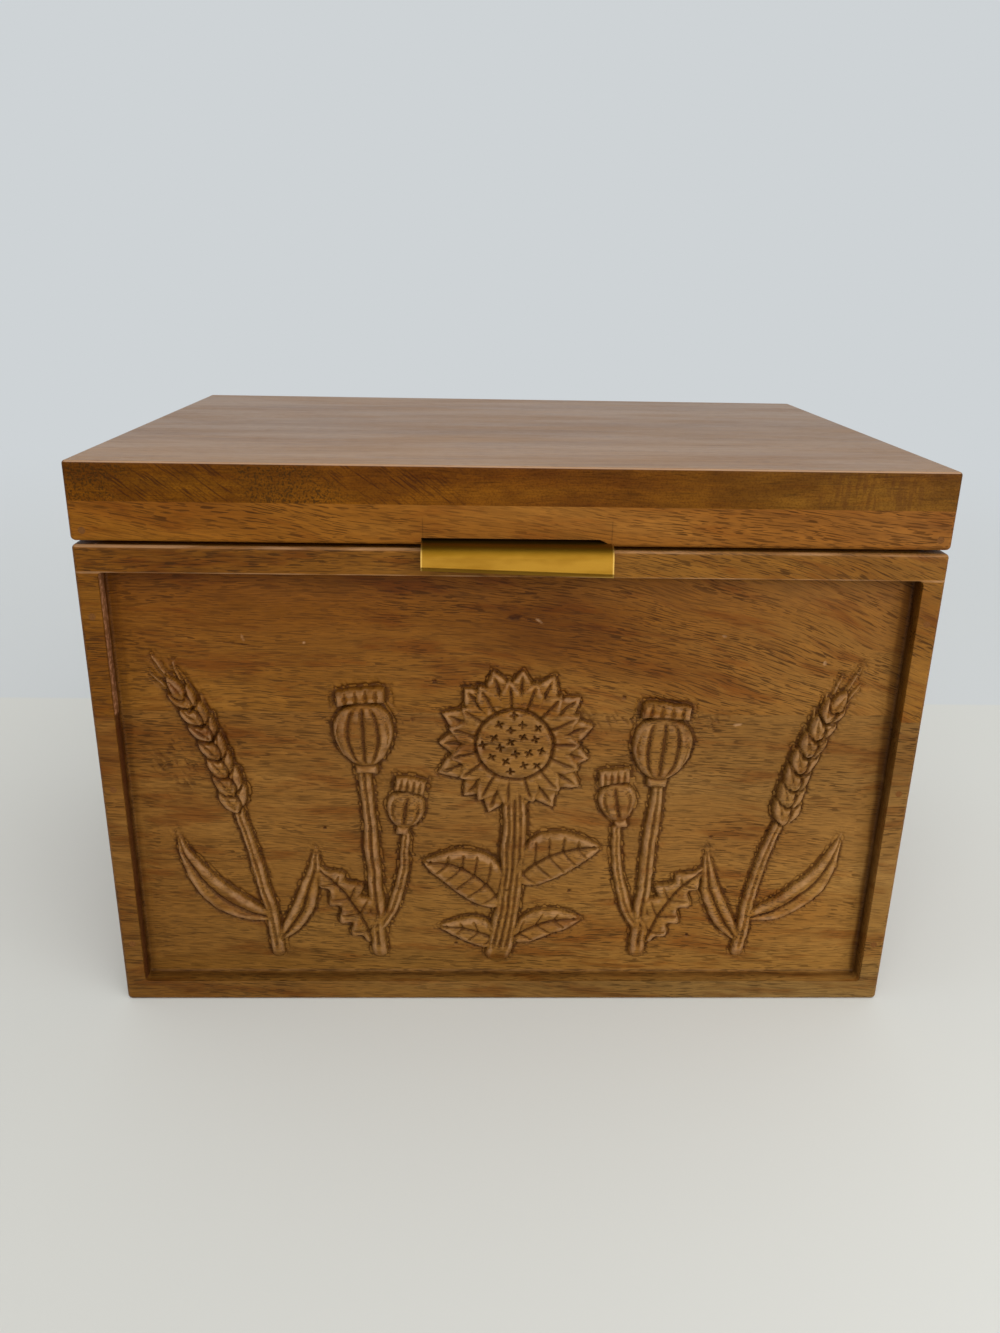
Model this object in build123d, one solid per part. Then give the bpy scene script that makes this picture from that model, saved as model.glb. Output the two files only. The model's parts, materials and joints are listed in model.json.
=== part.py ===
from build123d import *
import os

# Seed storage box, in millimetres.
# The origin is the centre of the wooden footprint, on the plane that the box stands on.
# The front faces -Y and +Z is up. The lid is shut.

# Whole box
box_width = 300.0
box_depth = 211.0
body_height = 184.3
lid_gap = 1.3

# Walls, bottom and divider
front_thickness = 15.0
back_thickness = 12.0
side_thickness = 12.0
bottom_thickness = 8.0
bottom_rabbet = 6.0
front_seam_height = 121.5
side_seam_height = 104.0
back_seam_height = 92.0
partition_thickness = 6.0
partition_height = 118.0
partition_groove = 4.0
partition_clearance = 0.1

# Lid
rail_height = 13.7
lid_board_thickness = 13.2
lid_board_count = 3

# Rounded arrises
corner_round = 2.0
edge_round = 1.5
lid_top_round = 1.2
rim_round = 0.8

# Recess in the front panel
recess_side_border = 8.0
recess_bottom_border = 8.5
recess_top_border = 9.6
recess_depth = 7.0
recess_corner_round = 1.6
recess_foot_cove = 1.2
recess_rim_round = 0.3

# Nails and their filler
nail_shank_diameter = 1.4
nail_head_diameter = 2.2
nail_head_thickness = 0.6
nail_length = 30.0
nail_point_length = 2.5
nail_set_depth = 1.8
nail_hole_diameter = 2.5
nail_side_inset = 4.5
nail_low_height = 26.0
nail_top_inset = 25.3
nails_per_corner = 3
lid_nail_height = 3.7

# Brads under the bottom panel
brad_shank_diameter = 1.2
brad_head_diameter = 2.4
brad_head_thickness = 0.5
brad_length = 18.0
brad_point_length = 2.0
brad_set_depth = 0.4
brad_edge_inset = 3.0
brads_per_long_side = 4
brads_per_bay = 2
brad_end_inset = 30.0
brad_bay_inset = 18.0

# Screws of the hinges and the pull, and the blunt tip that every nail, brad and screw has
point_tip_radius = 0.12
screw_shank_diameter = 1.8
screw_head_diameter = 3.6
screw_head_depth = 0.9
screw_length = 10.0
screw_point_length = 2.0
screw_slot_width = 0.6
screw_slot_depth = 0.4

# Hinges
hinge_length = 38.0
hinge_end_inset = 36.0
leaf_width = 9.6
leaf_thickness = 1.0
leaf_spacing = 0.1
pin_diameter = 2.0
pin_clearance = 0.03
pin_back_inset = 0.9
barrel_diameter = 4.4
barrel_relief = 0.25
knuckle_count = 5
knuckle_gap = 0.15
let_in_clearance = 0.1
hinge_screw_spacing = 24.0
hinge_screw_inset = 4.2

# Brass pull
pull_width = 65.0
pull_offset = 0.5
pull_thickness = 1.2
pull_flange_depth = 13.0
pull_shoulder = 1.5
pull_bend_radius = 4.5
pull_bend_angle = 78.0
pull_left_length = 2.7
pull_right_length = 4.4
pull_flick_radius = 1.6
pull_flick_angle = 50.0
pull_screw_spacing = 40.0
pull_screw_inset = 7.0
pull_notch_rise = 1.3
pull_notch_depth = 5.0
pull_notch_taper = 2.8
pull_notch_stop = 1.6

# Pads that hold the lid's gap at the front
bumper_diameter = 8.0
bumper_clearance = 0.1
bumper_front_inset = 9.0

# Levels and planes that follow from the sizes above
lid_bottom = body_height + lid_gap
rail_top = lid_bottom + rail_height
lid_top = rail_top + lid_board_thickness
front_face = -box_depth / 2
back_face = box_depth / 2
side_face = box_width / 2
front_inside = front_face + front_thickness
back_inside = back_face - back_thickness
side_inside = side_face - side_thickness
recess_floor = front_face + recess_depth
pin_height = body_height + lid_gap / 2
pin_depth = back_face - pin_back_inset
hinge_center = side_face - hinge_end_inset - hinge_length / 2
partition_middle = (front_inside + back_inside) / 2
partition_top = bottom_thickness + partition_height
panel_side = side_inside + bottom_rabbet
panel_front = front_inside - bottom_rabbet
panel_back = back_inside + bottom_rabbet


def block(x0, x1, y0, y1, z0, z1):
    """A box between two corners."""
    size = Box(x1 - x0, y1 - y0, z1 - z0)
    return Pos((x0 + x1) / 2, (y0 + y1) / 2, (z0 + z1) / 2) * size


def soft_block(low, high, low_round, high_round):
    """The whole outline of the box or the lid between two levels, with its arrises rounded."""
    solid = block(-side_face, side_face, front_face, back_face, low, high)
    solid = fillet(solid.edges().filter_by(Axis.Z), corner_round)
    solid = fillet(solid.faces().sort_by(Axis.Z)[-1].edges(), high_round)
    return fillet(solid.faces().sort_by(Axis.Z)[0].edges(), low_round)


def spread(count, first, last):
    """Evenly spaced places from the first to the last."""
    step = (last - first) / (count - 1)
    return [first + step * number for number in range(count)]


def driven(shank, head, head_thickness, length, point):
    """A nail or brad that points along +Z, with the top of its head at the origin."""
    solid = Cylinder(head / 2, head_thickness, align=(Align.CENTER, Align.CENTER, Align.MIN))
    stem = Cylinder(shank / 2, length - point, align=(Align.CENTER, Align.CENTER, Align.MIN))
    tip = Cone(shank / 2, point_tip_radius, point, align=(Align.CENTER, Align.CENTER, Align.MIN))
    return solid + stem + Pos(0, 0, length - point) * tip


def screw_blank():
    """A countersunk screw without its slot, which points along +Z from its head at the origin."""
    shank = screw_shank_diameter / 2
    straight = screw_length - screw_head_depth - screw_point_length
    low = (Align.CENTER, Align.CENTER, Align.MIN)
    head = Cone(screw_head_diameter / 2, shank, screw_head_depth, align=low)
    stem = Pos(0, 0, screw_head_depth) * Cylinder(shank, straight, align=low)
    point = Cone(shank, point_tip_radius, screw_point_length, align=low)
    return head + stem + Pos(0, 0, screw_head_depth + straight) * point


def slotted(blank):
    """The screw with a straight slot across its head."""
    return blank - Box(screw_head_diameter, screw_slot_width, screw_slot_depth * 2)


# The turns that point a nail, brad or screw from its head along each axis
into_front = Rot(-90, 0, 0)
into_back = Rot(90, 0, 0)
upward = Rot(0, 0, 0)
downward = Rot(180, 0, 0)


# Nails through the front and the back into the ends of the sides
nail = driven(nail_shank_diameter, nail_head_diameter, nail_head_thickness, nail_length, nail_point_length)
plug = Cylinder(nail_hole_diameter / 2, nail_set_depth, align=(Align.CENTER, Align.CENTER, Align.MIN))
nail_heights = spread(nails_per_corner, nail_low_height, body_height - nail_top_inset)
nail_sides = (nail_side_inset - side_face, side_face - nail_side_inset)

front_spots = [Pos(x, front_face, z) * into_front for x in nail_sides for z in nail_heights]
back_spots = [Pos(x, back_face, z) * into_back for x in nail_sides for z in nail_heights]
lid_nail_level = lid_bottom + lid_nail_height
lid_spots = [Pos(x, front_face, lid_nail_level) * into_front for x in nail_sides]
lid_spots += [Pos(x, back_face, lid_nail_level) * into_back for x in nail_sides]


def nails_at(spots):
    """One nail below the surface at each place."""
    return [spot * Pos(0, 0, nail_set_depth) * nail for spot in spots]


def plugs_at(spots):
    """One plug of filler over each nail, flush with the surface."""
    return [spot * plug for spot in spots]


front_corner_nails = nails_at(front_spots)
back_corner_nails = nails_at(back_spots)
lid_rail_nails = nails_at(lid_spots)
box_nail_filler = plugs_at(front_spots + back_spots)
lid_nail_filler = plugs_at(lid_spots)

# Brads up through the rim of the bottom panel
brad = driven(brad_shank_diameter, brad_head_diameter, brad_head_thickness, brad_length, brad_point_length)
brad_hole = Cylinder(brad_head_diameter / 2, brad_set_depth, align=(Align.CENTER, Align.CENTER, Align.MIN))
brad_rows = (panel_front + brad_edge_inset, panel_back - brad_edge_inset)
brad_sides = (brad_edge_inset - panel_side, panel_side - brad_edge_inset)
long_places = spread(brads_per_long_side, brad_end_inset - side_face, side_face - brad_end_inset)
front_bay = spread(brads_per_bay, front_inside + brad_bay_inset, partition_middle - brad_bay_inset)
back_bay = spread(brads_per_bay, partition_middle + brad_bay_inset, back_inside - brad_bay_inset)
brad_places = [(x, y) for x in long_places for y in brad_rows]
brad_places += [(x, y) for x in brad_sides for y in front_bay + back_bay]
bottom_brads = [Pos(x, y, brad_set_depth) * upward * brad for x, y in brad_places]
brad_holes = [Pos(x, y, 0) * brad_hole for x, y in brad_places]

# Hinges, each a leaf let into the back wall, a leaf let into the lid and a pin
leaf_half = leaf_spacing / 2
leaf_edge = pin_depth - leaf_width
barrel_radius = barrel_diameter / 2
leaf_step = hinge_length / knuckle_count
screw_depth = leaf_edge + hinge_screw_inset


def along_pin(radius, start, length):
    """A round bar on the hinge's pin axis, from a place along it."""
    bar = Rot(0, 90, 0) * Cylinder(radius, length, align=(Align.CENTER, Align.CENTER, Align.MIN))
    return Pos(start, pin_depth, pin_height) * bar


def hinge_leaf(center, first, side):
    """A leaf with its knuckles from number `first` on; side is -1 in the box and 1 in the lid."""
    start = center - hinge_length / 2
    near = pin_height + side * leaf_half
    far = near + side * leaf_thickness
    low, high = min(near, far), max(near, far)
    web = pin_depth - barrel_radius - barrel_relief
    leaf = block(start, start + hinge_length, leaf_edge, web, low, high)
    for number in range(first, knuckle_count, 2):
        left = start + number * leaf_step + knuckle_gap / 2
        right = left + leaf_step - knuckle_gap
        leaf += block(left, right, web, pin_depth, low, high)
        leaf += along_pin(barrel_radius, left, right - left)
    leaf -= along_pin(pin_diameter / 2 + pin_clearance, start, hinge_length)
    return leaf


def hinge_screw_spots(center, side):
    """Where one leaf's two screws start, flush with its inner face."""
    turn = downward if side < 0 else upward
    face = pin_height + side * leaf_half
    offsets = (-hinge_screw_spacing / 2, hinge_screw_spacing / 2)
    return [Pos(center + offset, screw_depth, face) * turn for offset in offsets]


def leaf_pocket(center, side):
    """The shallow bed cut in the wood for one leaf."""
    half = hinge_length / 2 + let_in_clearance
    seat = pin_height + side * (leaf_half + leaf_thickness)
    low, high = min(pin_height, seat), max(pin_height, seat)
    return block(center - half, center + half, leaf_edge - let_in_clearance, back_face, low, high)


def barrel_pocket(center):
    """The hollow round the knuckles, in the box and in the lid alike."""
    length = hinge_length + 2 * barrel_relief
    return along_pin(barrel_radius + barrel_relief, center - length / 2, length)


hinge_centers = {"left": -hinge_center, "right": hinge_center}
hinge_leaves = {}
hinge_pins = []
hinge_screws = {"box": [], "lid": []}
hinge_screw_blanks = {"box": [], "lid": []}
hinge_cuts = {"box": [], "lid": []}
for hand, center in hinge_centers.items():
    hinge_pins.append(along_pin(pin_diameter / 2, center - hinge_length / 2, hinge_length))
    for owner, first, side in (("box", 0, -1), ("lid", 1, 1)):
        spots = hinge_screw_spots(center, side)
        blanks = [spot * screw_blank() for spot in spots]
        hinge_leaves[hand, owner] = hinge_leaf(center, first, side) - blanks
        hinge_screws[owner] += [spot * slotted(screw_blank()) for spot in spots]
        hinge_screw_blanks[owner] += blanks
        hinge_cuts[owner] += [leaf_pocket(center, side), barrel_pocket(center)]

# Brass pull, a plate bent down over the front from a flange under the lid's front rail
pull_left = pull_offset - pull_width / 2
pull_right = pull_offset + pull_width / 2
pull_middle_level = lid_bottom + pull_thickness / 2


def pull_profile(x, drop):
    """The plate's section at one end, with the straight part of its lip as long as `drop`."""
    section = Plane(origin=(x, front_face, pull_middle_level), x_dir=(0, -1, 0), z_dir=(-1, 0, 0))
    flange = Line((-pull_flange_depth, 0), (pull_shoulder, 0))
    bend = JernArc(flange @ 1, flange % 1, pull_bend_radius, -pull_bend_angle)
    lip = PolarLine(bend @ 1, drop, direction=bend % 1)
    flick = JernArc(lip @ 1, lip % 1, pull_flick_radius, pull_flick_angle)
    ribbon = trace([flange, bend, lip, flick], pull_thickness)
    return section * ribbon


pull_spots = []
for offset in (-pull_screw_spacing / 2, pull_screw_spacing / 2):
    place = (pull_offset + offset, front_face + pull_screw_inset, lid_bottom)
    pull_spots.append(Pos(*place) * upward)
pull_screw_blanks = [spot * screw_blank() for spot in pull_spots]
pull_screws = [spot * slotted(screw_blank()) for spot in pull_spots]
pull_ends = [pull_profile(pull_left, pull_left_length), pull_profile(pull_right, pull_right_length)]
pull_plate = loft(pull_ends, ruled=True) - pull_screw_blanks

# The flange's bed, and the open notch over the plate, which runs out before the plate's right end
pull_seat = block(
    pull_left - let_in_clearance,
    pull_right + let_in_clearance,
    front_face,
    front_face + pull_flange_depth + let_in_clearance,
    lid_bottom,
    lid_bottom + pull_thickness,
)
notch_base = lid_bottom + pull_thickness
notch_right = pull_right - pull_notch_stop
notch_outline = Polyline(
    (pull_left, lid_bottom),
    (pull_left, notch_base + pull_notch_rise),
    (notch_right - pull_notch_taper, notch_base + pull_notch_rise),
    (notch_right, notch_base),
    (notch_right, lid_bottom),
    close=True,
)
notch_plane = Plane(origin=(0, front_face, 0), x_dir=(1, 0, 0), z_dir=(0, -1, 0))
pull_notch = extrude(notch_plane * make_face(notch_outline), -pull_notch_depth)

# Walls of the box as one shell, then cut into boards
walls = soft_block(0, body_height, edge_round, edge_round)
walls -= block(-side_inside, side_inside, front_inside, back_inside, 0, body_height)
rim = walls.faces().sort_by(Axis.Z)[-1].inner_wires()[0]
walls = fillet(rim.edges(), rim_round)
walls -= block(-panel_side, panel_side, panel_front, panel_back, 0, bottom_thickness)

recess = block(
    recess_side_border - side_face,
    side_face - recess_side_border,
    front_face - recess_depth,
    recess_floor,
    recess_bottom_border,
    body_height - recess_top_border,
)
recess = fillet(recess.edges().filter_by(Axis.Y), recess_corner_round)
recess = fillet(recess.faces().sort_by(Axis.Y)[-1].edges(), recess_foot_cove)

partition_slot = block(
    -side_inside - partition_groove,
    side_inside + partition_groove,
    partition_middle - partition_thickness / 2 - partition_clearance,
    partition_middle + partition_thickness / 2 + partition_clearance,
    bottom_thickness,
    partition_top + partition_clearance,
)

wall_cuts = front_corner_nails + back_corner_nails + box_nail_filler + bottom_brads
wall_cuts += hinge_cuts["box"] + hinge_screw_blanks["box"]
walls -= recess
recess_rim = walls.faces().sort_by(Axis.Y)[0].inner_wires()[0]
walls = fillet(recess_rim.edges(), recess_rim_round)
walls -= partition_slot
walls -= wall_cuts


def board(shell, x_span, y_span, z_span):
    """The part of a shell that lies between two places along each axis."""
    return shell & block(*x_span, *y_span, *z_span)


whole_width = (-side_face, side_face)
left_wall = (-side_face, -side_inside)
right_wall = (side_inside, side_face)
front_wall = (front_face, front_inside)
back_wall = (back_inside, back_face)
between_walls = (front_inside, back_inside)

front_lower_board = board(walls, whole_width, front_wall, (0, front_seam_height))
front_upper_board = board(walls, whole_width, front_wall, (front_seam_height, body_height))
back_lower_board = board(walls, whole_width, back_wall, (0, back_seam_height))
back_upper_board = board(walls, whole_width, back_wall, (back_seam_height, body_height))
left_lower_board = board(walls, left_wall, between_walls, (0, side_seam_height))
left_upper_board = board(walls, left_wall, between_walls, (side_seam_height, body_height))
right_lower_board = board(walls, right_wall, between_walls, (0, side_seam_height))
right_upper_board = board(walls, right_wall, between_walls, (side_seam_height, body_height))

bottom_panel = block(-panel_side, panel_side, panel_front, panel_back, 0, bottom_thickness)
bottom_panel -= bottom_brads + brad_holes

partition = block(
    -side_inside - partition_groove + partition_clearance,
    side_inside + partition_groove - partition_clearance,
    partition_middle - partition_thickness / 2,
    partition_middle + partition_thickness / 2,
    bottom_thickness,
    partition_top,
)
partition = fillet(partition.faces().sort_by(Axis.Z)[-1].edges().filter_by(Axis.X), rim_round)

# Pads on the flat of the side walls
bumper_side = side_face - (side_thickness + edge_round - rim_round) / 2
bumper_place = front_inside + bumper_front_inset
bumper_height = lid_gap - bumper_clearance
bumper = Cylinder(bumper_diameter / 2, bumper_height, align=(Align.CENTER, Align.CENTER, Align.MIN))
lid_bumpers = [Pos(x, bumper_place, body_height) * bumper for x in (-bumper_side, bumper_side)]

# The lid as one solid, then cut into rails and boards
lid = soft_block(lid_bottom, lid_top, edge_round, lid_top_round)
lid -= block(-side_inside, side_inside, front_inside, back_inside, lid_bottom, rail_top)
lid_rim = lid.faces().sort_by(Axis.Z)[0].inner_wires()[0]
lid = fillet(lid_rim.edges(), rim_round)
lid -= lid_rail_nails + lid_nail_filler + hinge_cuts["lid"] + hinge_screw_blanks["lid"]
lid -= [pull_seat, pull_notch] + pull_screw_blanks

rail_span = (lid_bottom, rail_top)
lid_front_rail = board(lid, whole_width, front_wall, rail_span)
lid_back_rail = board(lid, whole_width, back_wall, rail_span)
lid_left_rail = board(lid, left_wall, between_walls, rail_span)
lid_right_rail = board(lid, right_wall, between_walls, rail_span)

lid_seams = spread(lid_board_count + 1, front_face, back_face)
lid_names = ["lid_front_board", "lid_middle_board", "lid_back_board"]
lid_boards = {}
for name, near, far in zip(lid_names, lid_seams, lid_seams[1:]):
    lid_boards[name] = board(lid, whole_width, (near, far), (rail_top, lid_top))

pieces = {
    "front_upper_board": front_upper_board,
    "front_lower_board": front_lower_board,
    "back_upper_board": back_upper_board,
    "back_lower_board": back_lower_board,
    "left_upper_board": left_upper_board,
    "left_lower_board": left_lower_board,
    "right_upper_board": right_upper_board,
    "right_lower_board": right_lower_board,
    "bottom_panel": bottom_panel,
    "partition": partition,
    "front_corner_nails": front_corner_nails,
    "back_corner_nails": back_corner_nails,
    "box_nail_filler": box_nail_filler,
    "bottom_brads": bottom_brads,
    "left_hinge_box_leaf": hinge_leaves["left", "box"],
    "right_hinge_box_leaf": hinge_leaves["right", "box"],
    "hinge_pins": hinge_pins,
    "hinge_screws_box": hinge_screws["box"],
    "lid_bumpers": lid_bumpers,
    **lid_boards,
    "lid_front_rail": lid_front_rail,
    "lid_back_rail": lid_back_rail,
    "lid_left_rail": lid_left_rail,
    "lid_right_rail": lid_right_rail,
    "lid_rail_nails": lid_rail_nails,
    "lid_nail_filler": lid_nail_filler,
    "left_hinge_lid_leaf": hinge_leaves["left", "lid"],
    "right_hinge_lid_leaf": hinge_leaves["right", "lid"],
    "hinge_screws_lid": hinge_screws["lid"],
    "pull_plate": pull_plate,
    "pull_screws": pull_screws,
}

os.makedirs("parts", exist_ok=True)
for name, piece in pieces.items():
    shape = Compound(children=piece) if isinstance(piece, list) else piece
    export_step(shape, f"parts/{name}.step")
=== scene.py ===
import json
import math

import bpy
import numpy as np
from mathutils import Matrix, Vector


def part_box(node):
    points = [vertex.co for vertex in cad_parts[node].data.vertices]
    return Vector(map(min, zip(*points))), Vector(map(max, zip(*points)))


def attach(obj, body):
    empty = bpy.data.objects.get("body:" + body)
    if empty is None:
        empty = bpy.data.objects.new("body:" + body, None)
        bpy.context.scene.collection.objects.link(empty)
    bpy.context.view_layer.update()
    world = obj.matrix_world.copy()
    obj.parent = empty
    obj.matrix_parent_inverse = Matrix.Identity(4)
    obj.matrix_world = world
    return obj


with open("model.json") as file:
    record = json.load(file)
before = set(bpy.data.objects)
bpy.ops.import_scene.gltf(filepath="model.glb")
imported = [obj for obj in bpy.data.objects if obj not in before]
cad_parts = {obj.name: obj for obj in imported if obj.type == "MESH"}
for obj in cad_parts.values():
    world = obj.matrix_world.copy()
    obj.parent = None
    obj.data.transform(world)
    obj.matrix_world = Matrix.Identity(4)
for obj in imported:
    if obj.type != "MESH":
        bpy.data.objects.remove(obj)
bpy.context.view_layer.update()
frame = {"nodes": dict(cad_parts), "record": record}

# Seed storage box in metres: the front faces -Y and the box stands on z = 0.
# Sizes with _mm in their name, and all sizes in the finishes and the carving, are in millimetres.

MM = 0.001


def in_mm(node):
    """The low and high corners of a node, in millimetres."""
    low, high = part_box(node)
    return np.array(low) / MM, np.array(high) / MM


upper_high = in_mm("front_upper_board")[1]
lower_low, lower_high = in_mm("front_lower_board")
lid_low, lid_high = in_mm("lid_front_board")
rail_low = in_mm("lid_front_rail")[0]
pull_low, pull_high = in_mm("pull_plate")
back_joint_mm = in_mm("lid_middle_board")[1][1]
seam_mm = lower_high[2]
front_mm = lower_low[1]

# The recess in the front panel
recess_side_mm = 142.0
recess_low_mm = 8.5
recess_high_mm = upper_high[2] - 9.6
recess_floor_mm = front_mm + 7.0

# The bed over the pull, in the lid's front rail
notch_depth_mm = 13.1


# Shader nodes

def linear(red, green, blue):
    """A display colour, 0 to 255, as the linear colour that a shader takes."""
    shares = np.array((red, green, blue)) / 255
    curve = np.where(shares <= 0.04045, shares / 12.92, ((shares + 0.055) / 1.055) ** 2.4)
    return (*[float(share) for share in curve], 1.0)


class Finish:
    """A material, or the room's world, that is laid down step by step. Places and lengths in it are
    in millimetres."""

    def __init__(self, name, kind=bpy.data.materials):
        self.material = kind.new(name)
        self.material.use_nodes = True
        self.tree = self.material.node_tree
        self.tree.nodes.clear()

    def add(self, kind, inputs, **settings):
        """A node with its settings, and each input set to a value or joined to a socket."""
        node = self.tree.nodes.new(kind)
        for key, value in settings.items():
            setattr(node, key, value)
        for key, value in inputs.items():
            if isinstance(value, bpy.types.NodeSocket):
                self.tree.links.new(value, node.inputs[key])
            else:
                node.inputs[key].default_value = value
        return node

    def sum(self, operation, *values):
        """One sum, such as ADD or MULTIPLY, on numbers or sockets."""
        return self.add("ShaderNodeMath", dict(enumerate(values)), operation=operation).outputs[0]

    def times(self, share, *others):
        """The product of several shares."""
        for other in others:
            share = self.sum("MULTIPLY", share, other)
        return share

    def most(self, share, *others):
        """The largest of several shares."""
        for other in others:
            share = self.sum("MAXIMUM", share, other)
        return share

    def swing(self, noise, reach, around):
        """A value moved by noise, up to half of `reach` each way."""
        return self.sum("MULTIPLY_ADD", self.sum("SUBTRACT", noise, 0.5), reach, around)

    def vector(self, operation, first, second):
        """One sum on two places."""
        return self.add("ShaderNodeVectorMath", {0: first, 1: second}, operation=operation).outputs[0]

    def place(self, turn=(0, 0, 0), shift=(0, 0, 0)):
        """Object coordinates in millimetres, turned and then shifted."""
        spot = self.add("ShaderNodeTexCoord", {}).outputs["Object"]
        values = {"Vector": spot, "Scale": (1 / MM, 1 / MM, 1 / MM), "Rotation": turn, "Location": shift}
        return self.add("ShaderNodeMapping", values).outputs[0]

    def parts(self, spot):
        """The three coordinates of a place."""
        return self.add("ShaderNodeSeparateXYZ", {0: spot}).outputs[:3]

    def noise(self, spot, size, detail=2.0, rough=0.5):
        """Soft noise whose patches measure `size` along each axis, from 0 to 1."""
        near = self.vector("DIVIDE", spot, size)
        values = {"Vector": near, "Scale": 1.0, "Detail": detail, "Roughness": rough}
        return self.add("ShaderNodeTexNoise", values).outputs["Fac"]

    def ease(self, value, low, high, start=0.0, end=1.0):
        """A smooth step from `start` to `end` as the value goes from low to high."""
        values = {0: value, 1: low, 2: high, 3: start, 4: end}
        return self.add("ShaderNodeMapRange", values, interpolation_type="SMOOTHSTEP").outputs[0]

    def fall(self, value, low, high):
        """A smooth step down, from 1 to 0."""
        return self.ease(value, low, high, 1.0, 0.0)

    def mix(self, share, first, second, blend="MIX"):
        """A blend of two colours."""
        values = {"Factor": share, "A": first, "B": second}
        node = self.add("ShaderNodeMix", {}, data_type="RGBA", blend_type=blend)
        for key, value in values.items():
            socket = next(s for s in node.inputs if s.name == key and s.enabled)
            if isinstance(value, bpy.types.NodeSocket):
                self.tree.links.new(value, socket)
            else:
                socket.default_value = value
        return next(s for s in node.outputs if s.enabled)

    def tint(self, share, colour, tint):
        """The colour multiplied by a tint, by a share."""
        return self.mix(share, colour, self.mix(1.0, colour, (*tint, 1.0), "MULTIPLY"))

    def bump(self, height, depth_mm):
        """A fine unevenness, as deep as depth_mm where the height is 1."""
        values = {"Height": height, "Distance": depth_mm * MM, "Strength": 1.0}
        return self.add("ShaderNodeBump", values).outputs[0]

    def close(self, **inputs):
        """The shader and the output, with inputs by their names in lower case."""
        values = {key.replace("_", " ").title(): value for key, value in inputs.items()}
        names = {"Specular Ior Level": "Specular IOR Level", "Ior": "IOR"}
        shader = self.add("ShaderNodeBsdfPrincipled", {names.get(k, k): v for k, v in values.items()})
        self.add("ShaderNodeOutputMaterial", {0: shader.outputs[0]})
        return self.material


# Wood. Grain runs along X unless the board is turned.

QUARTER = (0.0, 0.0, math.pi / 2)
bow_start_mm = -40.0
pore_dark = (0.004, 0.002, 0.0005, 1)
ruddy_loss = (0.24, 0.38, 0.50)


def wood(name, tones, shift, turn=(0, 0, 0), slope=0.0, bow=0.0, painted_light_drift=(0, 0, 0), band=14.0, streak=0.5,
         fibre=0.3, pores=0.5, long=7.0, red=1.0, shine=0.1, rough=0.44, extra=None, coat=None):
    """Oiled hardwood: broad bands and fine streaks of noise stretched along the grain, thin dark
    threads, long and short pore dashes, and a bump from the pores and the fibres.
    tones are the deep, middle and light colours; shift picks the place in the noise; slope tips the
    grain, in radians; bow bends it down towards +X, as a parabola; painted_light_drift is painted
    light and sheen, the share of red, green and blue gained per 100 mm along X, which paints a board
    as more brightly lit and sheened towards the right; band is how thick the bands are; streak, fibre
    and pores are how strongly these show; long is the length of a pore dash; red is how ruddy the
    darker patches are; shine and rough set the gloss; extra adds a board's own marks and painted
    light, and coat its wax."""
    f = Finish(name)
    spot = f.place()
    x = f.parts(spot)[0]
    grain = f.place(turn=(turn[0], turn[1] + slope, turn[2]), shift=shift)
    lift = f.swing(f.noise(grain, (60, 24, 24), 1.0), 8.0, 0.0)
    if bow:
        past = f.most(f.sum("SUBTRACT", x, bow_start_mm), 0.0)
        lift = f.sum("MULTIPLY_ADD", f.times(past, past), bow, lift)
    grain = f.vector("ADD", grain, f.add("ShaderNodeCombineXYZ", {2: lift}).outputs[0])
    bands = f.noise(grain, (110, band, band), 3.0)
    streaks = f.noise(grain, (48, 2.3, 2.3), 4.0, 0.62)
    threads = f.noise(grain, (17, 0.95, 0.95), 2.0, 0.6)
    fibres = f.noise(grain, (7, 0.36, 0.36), 2.0)
    dashes = f.noise(grain, (long, 0.50, 0.50), 0.0)
    flecks = f.noise(grain, (4.4, 0.34, 0.34), 0.0)
    mottle = f.noise(grain, (9, 5, 5), 3.0, 0.6)

    deep, middle, light = tones
    colour = f.mix(f.ease(bands, 0.30, 0.50), deep, middle)
    colour = f.mix(f.ease(bands, 0.50, 0.74), colour, light)
    tone = f.swing(streaks, streak * 2, 1.0)
    tone = f.swing(fibres, fibre * 2, tone)
    tone = f.swing(mottle, 0.34, tone)
    tone = f.sum("MULTIPLY_ADD", f.ease(threads, 0.56, 0.72), -0.26, tone)
    # Painted light and sheen: each channel gains its share along X, more towards the right
    levels = {channel: f.sum("MULTIPLY_ADD", x, rate / 100, tone) for channel, rate in enumerate(painted_light_drift)}
    colour = f.mix(1.0, colour, f.add("ShaderNodeCombineColor", levels).outputs[0], "MULTIPLY")
    ruddy = f.noise(grain, (30, 6, 6), 3.0, 0.62)
    colour = f.tint(f.ease(ruddy, 0.48, 0.70), colour, [1 - loss * red for loss in ruddy_loss])
    pore = f.times(f.ease(dashes, 0.60, 0.67), f.ease(bands, 0.25, 0.75, 1.0, 0.6))
    short = f.times(f.ease(flecks, 0.62, 0.68), f.ease(mottle, 0.35, 0.65, 0.3, 0.9))
    patches = f.ease(f.noise(grain, (42, 12, 12), 2.0), 0.36, 0.62, 0.5, 1.0)
    pore = f.times(f.most(pore, short), patches)
    colour = f.mix(f.times(pore, pores), colour, f.mix(0.72, deep, pore_dark))
    if extra:
        colour = extra(f, spot, colour)
    height = f.sum("MULTIPLY_ADD", pore, -1.0, f.times(fibres, 0.45))
    coarse = f.sum("MULTIPLY_ADD", streaks, -0.10, f.sum("MULTIPLY_ADD", pore, 0.22, rough + 0.05))
    polish = {"coat_weight": coat(f, spot), "coat_roughness": 0.3} if coat else {}
    return f.close(base_color=colour, roughness=coarse, specular_ior_level=shine,
                   normal=f.bump(height, 0.06), **polish)


def tone_set(deep, middle, light):
    """The three tones of a wood, from display colours."""
    return linear(*deep), linear(*middle), linear(*light)


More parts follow.
